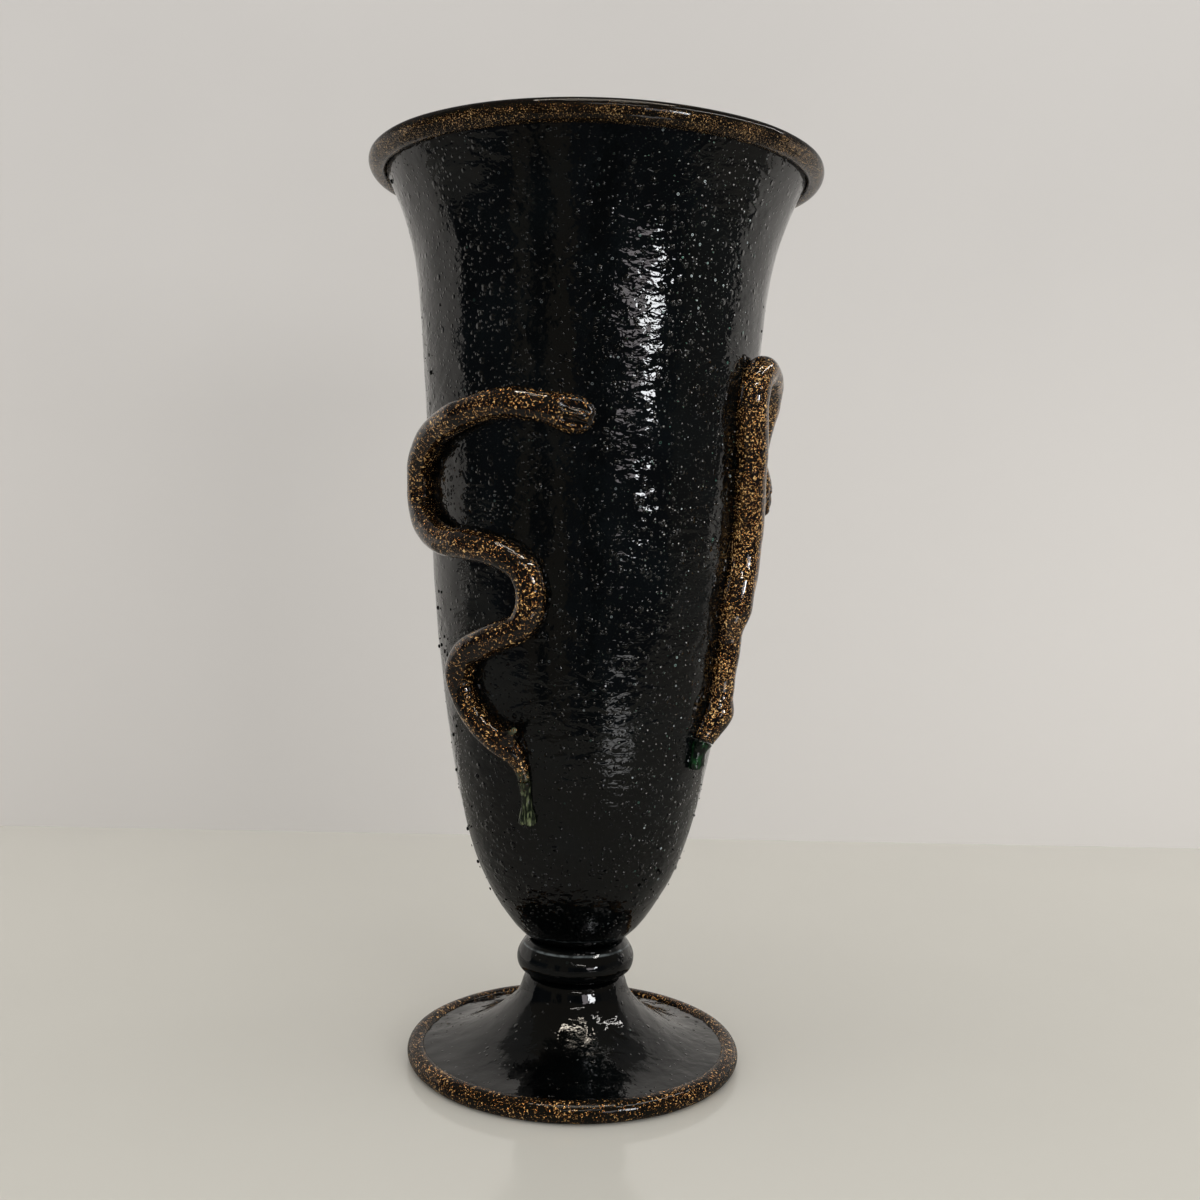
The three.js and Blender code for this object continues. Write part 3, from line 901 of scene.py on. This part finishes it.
def press(shape, layers, marks):
    """Sinks oval marks, each given as along, turn, half length, half width, depth and splay."""
    along_layer, turn_layer = layers
    pressed_layer = shape.verts.layers.float.new("pressed")
    shape.normal_update()
    moves = []
    for vert in shape.verts:
        for along, turn, half_length, half_width, depth, splay in marks:
            step = vert[along_layer] - along
            side = (vert[turn_layer] - turn) - splay * step
            reach = math.hypot(step / half_length, side / half_width)
            if reach < 1.3:
                floor = 1 - min(max((reach - 0.5) / 0.5, 0), 1) ** 2
                rim = MARK_RIM * math.exp(-((reach - MARK_RIM_AT) / MARK_RIM_WIDTH) ** 2)
                vert[pressed_layer] = max(vert[pressed_layer], floor)
                moves.append((vert, vert.normal * depth * (rim - floor)))
    for vert, move in moves:
        vert.co += move


def pinch_spur(shape, layers, cane, back, reach, knob):
    """Pulls a spur of a length reach out of the cane's side, as far back from the green tip as back
    says, with a round knob of a radius knob on its end, where the glass let go."""
    along_layer, turn_layer = layers
    pulled_layer = shape.verts.layers.float.new("pulled")
    section = cane.section(cane.join - back)
    across, outward, along = (column.normalized() for column in section.to_3x3().col)
    pull = (across + outward * 0.25 + along * 0.25) * reach
    for vert in shape.verts:
        step = (vert[along_layer] - cane.join + back) / SPUR_HALF_LENGTH
        side = (vert[turn_layer] - SPUR_TURN) / SPUR_HALF_TURN
        share = max(0.0, 1 - math.hypot(step, side))
        vert[pulled_layer] = share
        vert.co += pull * share ** 1.5
    if knob:
        tip = section @ Vector((math.sin(SPUR_TURN), math.cos(SPUR_TURN), 0)) + pull * 0.92
        ball = bmesh.ops.create_uvsphere(
            shape, u_segments=14, v_segments=9, radius=knob, matrix=Matrix.Translation(tip),
        )
        for vert in ball["verts"]:
            vert[pulled_layer] = 1


print(len(HEAD_MARKS), "marks on a head")

# %% [markdown]
# ## The snakes and their tips
#
# Each cane is drawn in two pieces, as the solids are: the speckled part up to a seam, and the bare
# green end beyond it, which was snipped off and has a notch.

# %% Snake pieces
SEAM = 0.0003
NOSE_STOPS = (0.00008, 0.0003, 0.0008, 0.0015, 0.0025)
CANE_WAVES = [(0.012, 0.00042), (0.0045, 0.00012)]
TIP_WAVES = [(0.005, 0.00025)]
NOTCH_LENGTH = 1.6


def snake_piece(name, cane, node, **spur):
    shape, *layers = drawn_cane(cane, 0, cane.join - SEAM / 2, NOSE_STOPS)
    press(shape, layers, HEAD_MARKS)
    hammered(shape, CANE_WAVES)
    pinch_spur(shape, layers, cane, **spur)
    return stands_for(as_piece(name, shape), node)


def tip_piece(name, cane, node, notch):
    """The bare green end, notched where it was snipped off; notch is half the notch's width."""
    shape, along_layer, _ = drawn_cane(cane, cane.join + SEAM / 2, cane.length)
    end = cane.section(cane.length)
    middle = end @ Vector((0, 0, 0))
    across = end.to_3x3().col[0].normalized()
    lengthwise = end.to_3x3().col[2].normalized()
    for vert in shape.verts:
        back = cane.length - vert[along_layer]
        side = abs((vert.co - middle).dot(across))
        if back < notch * NOTCH_LENGTH:
            depth = notch * max(0.0, 1 - side / notch) * (1 - back / (notch * NOTCH_LENGTH))
            vert.co -= lengthwise * depth
    hammered(shape, TIP_WAVES)
    return stands_for(rounded(as_piece(name, shape), 1), node)


snake_left = snake_piece(
    "snake_left_cane", left_cane, "snake_left", back=0.0180, reach=0.0068, knob=0.0012,
)
snake_right = snake_piece(
    "snake_right_cane", right_cane, "snake_right", back=0.0060, reach=0.0012, knob=0,
)
tip_left = tip_piece("snake_left_tip", left_cane, "snake_left_tail_tip", 0.0012)
tip_right = tip_piece("snake_right_tip", right_cane, "snake_right_tail_tip", 0.0022)

# %% [markdown]
# ## The dark glass
#
# The glass is a bottle green so deep that it looks black. Its skin is what makes it: fine ripples
# that break every reflection into short level dashes, and round blisters and pits that catch a ring
# of light. The large blisters are modelled above. Ripples and the smallest blisters are bump,
# because they are smaller than the mesh. Dots are painted in the colour too: dim and sea-green ones
# are seeds just under the surface, and the pale and white rings are painted glints, standing in for
# the window's light caught by blisters. All the dots are painted densest towards the window's side,
# which is painted light. A thin pale band where the bowl was set on the collar is a painted
# highlight, where the fillet catches the light.

# %% Dark glass material
DEEP_GREENS = ((0.0007, 0.0009, 0.0009, 1), (0.0014, 0.0021, 0.0023, 1))
PAINTED_JOINT_HIGHLIGHT = (0.13, 0.15, 0.155, 1)
# The dots are painted densest from these x positions on, on the window's side: painted light. The
# white and pale dots are painted glints of the window on blisters; the green and dim ones are seeds
# in the glass.
PAINTED_GLINT_SIDE = (-0.01, 0.05)
SEEDS_AND_PAINTED_GLINTS = (  # cells in a metre, share of them, smallest and largest radius, pale and green colour
    (520, 0.85, 0.00014, 0.0003, (1.0, 1.0, 1.0, 1), (0.12, 0.32, 0.22, 1)),
    (290, 0.4, 0.00025, 0.00062, (0.62, 0.70, 0.72, 1), (0.12, 0.28, 0.22, 1)),
    (900, 1.0, 0.0001, 0.00025, (0.07, 0.085, 0.075, 1), (0.05, 0.06, 0.035, 1)),
)


def dots(tree, place, scale, share, small, large):
    """Round dots, one in a share of a Voronoi grid's cells: 1 in a dot's middle, 0 at its edge, and
    the three random numbers of its cell."""
    cells = add(tree, "ShaderNodeTexVoronoi", {"Vector": place, "Scale": scale})
    parts = add(tree, "ShaderNodeSeparateColor", {"Color": cells.outputs["Color"]})
    there = math_of(tree, "LESS_THAN", parts.outputs[0], share)
    size = ramp(tree, parts.outputs[1], 0.0, 1.0, small * scale, large * scale)
    near = math_of(tree, "DIVIDE", cells.outputs["Distance"], size)
    dome = math_of(tree, "SUBTRACT", 1.0, math_of(tree, "MULTIPLY", near, near), clamp=True)
    return math_of(tree, "MULTIPLY", dome, there), parts


def dark_glass(name, ripple, seeds_and_glints, blisters, painted_highlight_heights=None):
    """ripple is the strength of the skin's waves; the seeds and glints and the blisters are given as
    the share of cells with one. About the middle of the three heights for the joint, a pale band is
    painted: a painted highlight where the fillet between bowl and collar catches the light."""
    material, tree, shader, place = start_material(name)
    level = stretched(tree, place, (1, 1, 1.7))
    rough = ramp(tree, noise_of(tree, place, 22, 2), 0.34, 0.6, 0.25, 1.0)
    broad = math_of(tree, "MULTIPLY", noise_of(tree, level, 125, 1.5, 0.4), rough)
    fine = math_of(tree, "MULTIPLY", noise_of(tree, level, 430, 1.0, 0.6), rough)
    pimple, _ = dots(tree, place, 520, blisters, 0.0003, 0.0007)
    bubble, _ = dots(tree, place, 240, blisters * 0.8, 0.0006, 0.0015)
    domes = math_of(tree, "MULTIPLY", math_of(tree, "ADD", pimple, bubble), rough)
    skin = add(tree, "ShaderNodeBump", {"Height": broad, "Distance": 0.0007 * ripple}).outputs[0]
    for height, distance in ((fine, 0.00012 * ripple), (domes, 0.0006)):
        feed = {"Height": height, "Distance": distance, "Normal": skin}
        skin = add(tree, "ShaderNodeBump", feed).outputs[0]
    tree.links.new(skin, shader.inputs["Normal"])

    depth = ramp(tree, noise_of(tree, place, 40, 3), 0.4, 0.7)
    coloured = blend(tree, depth, *DEEP_GREENS)
    spot = add(tree, "ShaderNodeSeparateXYZ", {"Vector": place})
    # Painted light: the dots fade out away from the window's side, as the window's glints on them
    # would.
    painted_window_side_mask = ramp(tree, spot.outputs["X"], *PAINTED_GLINT_SIDE, 0.12, 1.0)
    for scale, share, small, large, pale, green in SEEDS_AND_PAINTED_GLINTS:
        seed, cell = dots(tree, place, scale, seeds_and_glints * share, small, large)
        hollow = ramp(tree, seed, 0.45, 0.75, 1.0, 0.08)
        ring = math_of(tree, "MULTIPLY", ramp(tree, seed, 0.04, 0.3), hollow)
        shown = math_of(tree, "MULTIPLY", math_of(tree, "MULTIPLY", ring, rough), painted_window_side_mask)
        tint = blend(tree, ramp(tree, cell.outputs[2], 0.5, 0.9), pale, green)
        coloured = blend(tree, shown, coloured, tint)
    # A pale band is painted round the joint: a painted highlight of the fillet, broken up by noise.
    if painted_highlight_heights:
        highlight_breakup = ramp(tree, noise_of(tree, place, 260, 3), 0.4, 0.62, 0.25, 1.0)
        low, middle, high = painted_highlight_heights
        above = ramp(tree, spot.outputs["Z"], low, middle)
        below = ramp(tree, spot.outputs["Z"], middle, high, 1.0, 0.0)
        band = math_of(tree, "MULTIPLY", above, below)
        coloured = blend(tree, math_of(tree, "MULTIPLY", band, highlight_breakup), coloured, PAINTED_JOINT_HIGHLIGHT)
    tree.links.new(coloured, shader.inputs["Base Color"])
    shader.inputs["Roughness"].default_value = 0.035
    shader.inputs["IOR"].default_value = 1.46
    return material


bowl_glass = dark_glass("dark_glass_bowl", ripple=1.0, seeds_and_glints=0.62, blisters=0.8)
foot_glass = dark_glass("dark_glass_foot", ripple=0.7, seeds_and_glints=0.04, blisters=0.14)
painted_highlight_heights = (collar_top - 0.0007, collar_top - 0.0001, collar_top + 0.0006)
collar_glass = dark_glass("dark_glass_collar", ripple=0.8, seeds_and_glints=0.04, blisters=0.14, painted_highlight_heights=painted_highlight_heights)


def give(piece, glass):
    """Gives the piece its glass."""
    piece.data.materials.clear()
    piece.data.materials.append(glass)
    print(glass.name, "on", piece.name)


for piece, glass in ((bowl, bowl_glass), (foot, foot_glass), (collar, collar_glass)):
    give(piece, glass)

# %% [markdown]
# ## The speckled glass
#
# Flakes of metal leaf lie under a casing of clear glass, from copper through orange to pale gold.
# Seen close they are short, crooked marks with dark glass between them. A Voronoi grid would give
# round grains; a noise cut off at a level gives such marks. How far the noise rises above the cut
# grades the metal, copper at a mark's edge and pale gold in its middle.
#
# The casing is the shader's coat. Layer Weight finds the sides, where one looks through more of it
# and fewer flakes show. They also thin out where the glass was pressed or pulled.

# %% Speckled glass material
CASING_AT_SIDES = (0.016, 0.015, 0.009, 1)
PULLED_BARE_AND_PAINTED_HIGHLIGHT = (0.09, 0.10, 0.06, 1)
BARE_GREEN = ((0.008, 0.012, 0.006, 1), (0.18, 0.21, 0.11, 1))
NOISE_SPREAD = 0.22


def streaks(tree, place, dark, light):
    """Streaks drawn out along the height, between two tones."""
    drawn = noise_of(tree, stretched(tree, place, (3, 3, 0.6)), 260, 2, 0.5)
    return blend(tree, ramp(tree, drawn, 0.48, 0.68), dark, light)


def speckled_glass(
    name, grain, cover, shades, dark, bare=None, top_fade=None, coat=1.0, coat_ior=1.42,
):
    """grain is a fleck's size in metres, cover how much of the surface the flecks take. They thin
    out between the two heights of bare, over green glass, and above the heights of top_fade."""
    material, tree, shader, place = start_material(name)
    worm = noise_of(tree, place, 0.95 / grain, 2.0, 0.9, 0.55)
    patch = noise_of(tree, place, 80, 2)
    cut = math_of(tree, "ADD", worm, ramp(tree, patch, 0.3, 0.7, 0.03, -0.03))
    for layer, fewer in (("pressed", 0.05), ("pulled", 0.03)):
        worked = add(tree, "ShaderNodeAttribute", attribute_name=layer).outputs["Fac"]
        cut = math_of(tree, "SUBTRACT", cut, math_of(tree, "MULTIPLY", worked, fewer))
    pulled = worked
    casing = add(tree, "ShaderNodeLayerWeight", {"Blend": 0.3}).outputs["Facing"]
    cut = math_of(tree, "SUBTRACT", cut, ramp(tree, casing, 0.8, 1.0, 0.0, 0.07))
    ground = blend(tree, ramp(tree, casing, 0.75, 1.0), dark, CASING_AT_SIDES)
    # Where the spur was pulled, the ground is painted pale green: partly the bare glass there, and
    # partly a painted highlight that brightens the small spur as its glints would.
    ground = blend(tree, ramp(tree, pulled, 0.6, 1.0), ground, PULLED_BARE_AND_PAINTED_HIGHLIGHT)
    height = add(tree, "ShaderNodeSeparateXYZ", {"Vector": place}).outputs["Z"]
    if bare:
        clothed = ramp(tree, height, *bare)
        cut = math_of(tree, "SUBTRACT", cut, ramp(tree, clothed, 0.0, 1.0, 0.26, 0.0))
        ground = blend(tree, clothed, streaks(tree, place, *BARE_GREEN), ground)
    if top_fade:
        cut = math_of(tree, "SUBTRACT", cut, ramp(tree, height, *top_fade, 0.0, 0.1))
    edge = 0.5 + (0.5 - cover) * NOISE_SPREAD
    fleck = ramp(tree, cut, edge - 0.01, edge + 0.012)
    core = math_of(tree, "SUBTRACT", cut, edge)
    metal = blend(tree, ramp(tree, core, 0.01, 0.07), shades[0], shades[1])
    metal = blend(tree, ramp(tree, core, 0.07, 0.14), metal, shades[2])
    tree.links.new(blend(tree, fleck, ground, metal), shader.inputs["Base Color"])
    sheen = math_of(tree, "MULTIPLY", fleck, ramp(tree, core, 0.03, 0.13, 1.0, 0.30))
    tree.links.new(sheen, shader.inputs["Metallic"])
    tree.links.new(ramp(tree, fleck, 0, 1, 0.1, 0.2), shader.inputs["Roughness"])
    shader.inputs["Specular IOR Level"].default_value = 0.0
    shader.inputs["Coat Weight"].default_value = coat
    shader.inputs["Coat Roughness"].default_value = 0.03
    shader.inputs["Coat IOR"].default_value = coat_ior
    skin = noise_of(tree, place, 210, 2, 0.4)
    wavy = add(tree, "ShaderNodeBump", {"Height": skin, "Distance": 0.0002})
    tree.links.new(wavy.outputs[0], shader.inputs["Coat Normal"])
    feed = {"Height": worm, "Distance": 0.0012, "Normal": wavy.outputs[0]}
    flaky = add(tree, "ShaderNodeBump", feed)
    tree.links.new(flaky.outputs[0], shader.inputs["Normal"])
    return material


print("speckled glass ready")

# %% [markdown]
# ## Four kinds of speckled glass
#
# The right snake's flecks are finer and denser than the left one's. The lip's bead has fine brown
# ones, which fade over its top, and the foot's bead fewer. At a tail they thin out over green.

# %% Metals and speckled pieces
COPPER = (0.16, 0.055, 0.018, 1)
ORANGE_GOLD = (0.66, 0.34, 0.10, 1)
PALE_GOLD = (1.0, 0.69, 0.31, 1)
DARK_CASING = (0.003, 0.0022, 0.0014, 1)
LIP_CASING = (0.0045, 0.0036, 0.0024, 1)
FOOT_CASING = (0.006, 0.0048, 0.003, 1)
SNAKE_METAL = (COPPER, ORANGE_GOLD, PALE_GOLD)
LIP_METAL = ((0.06, 0.028, 0.012, 1), (0.30, 0.16, 0.055, 1), (0.75, 0.52, 0.25, 1))

left_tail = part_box("snake_left")[0].z
right_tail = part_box("snake_right")[0].z
lip_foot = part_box("lip_wrap")[0].z
left_bare = (left_tail - 0.014, left_tail + 0.010)
right_bare = (right_tail - 0.004, right_tail + 0.004)
lip_fade = (lip_foot + 0.0045, lip_foot + 0.0065)
snake_left_glass = speckled_glass(
    "speckled_glass_left", 0.0010, 0.20, SNAKE_METAL, DARK_CASING, bare=left_bare, coat_ior=1.5,
)
snake_right_glass = speckled_glass(
    "speckled_glass_right", 0.0008, 0.33, SNAKE_METAL, DARK_CASING, bare=right_bare, coat_ior=1.6,
)
lip_glass = speckled_glass(
    "speckled_glass_lip", 0.0005, 0.26, LIP_METAL, LIP_CASING, top_fade=lip_fade, coat=0.6,
)
foot_bead_glass = speckled_glass(
    "speckled_glass_foot", 0.0009, 0.16, SNAKE_METAL, FOOT_CASING, coat=0.6,
)
for piece, glass, slot in (
    (snake_left, snake_left_glass, "speckled_snake_glass"),
    (snake_right, snake_right_glass, "speckled_snake_glass"),
    (lip_bead, lip_glass, "speckled_bead_glass"),
    (foot_bead, foot_bead_glass, "speckled_bead_glass"),
):
    give(piece, glass)

# %% [markdown]
# ## The green tips
#
# Beyond the flakes the cane's core is bare: clear dark green glass. It lies on black, so little
# light comes through it, and a mix of body colour and transmission is enough. On the left tip the
# last flecks still run out over streaky green, so it takes the speckled recipe.

# %% Green glass material
def green_glass():
    material, tree, shader, place = start_material("green_glass")
    tone = streaks(tree, place, (0.001, 0.0035, 0.0018, 1), (0.01, 0.065, 0.018, 1))
    tree.links.new(tone, shader.inputs["Base Color"])
    shader.inputs["Transmission Weight"].default_value = 0.2
    shader.inputs["Roughness"].default_value = 0.04
    shader.inputs["IOR"].default_value = 1.5
    skin = noise_of(tree, place, 230, 2, 0.4)
    wavy = add(tree, "ShaderNodeBump", {"Height": skin, "Distance": 0.0005})
    tree.links.new(wavy.outputs[0], shader.inputs["Normal"])
    return material


left_tip_glass = speckled_glass(
    "green_glass_left", 0.0010, 0.20, SNAKE_METAL, DARK_CASING, bare=left_bare,
)
give(tip_left, left_tip_glass)
give(tip_right, green_glass())
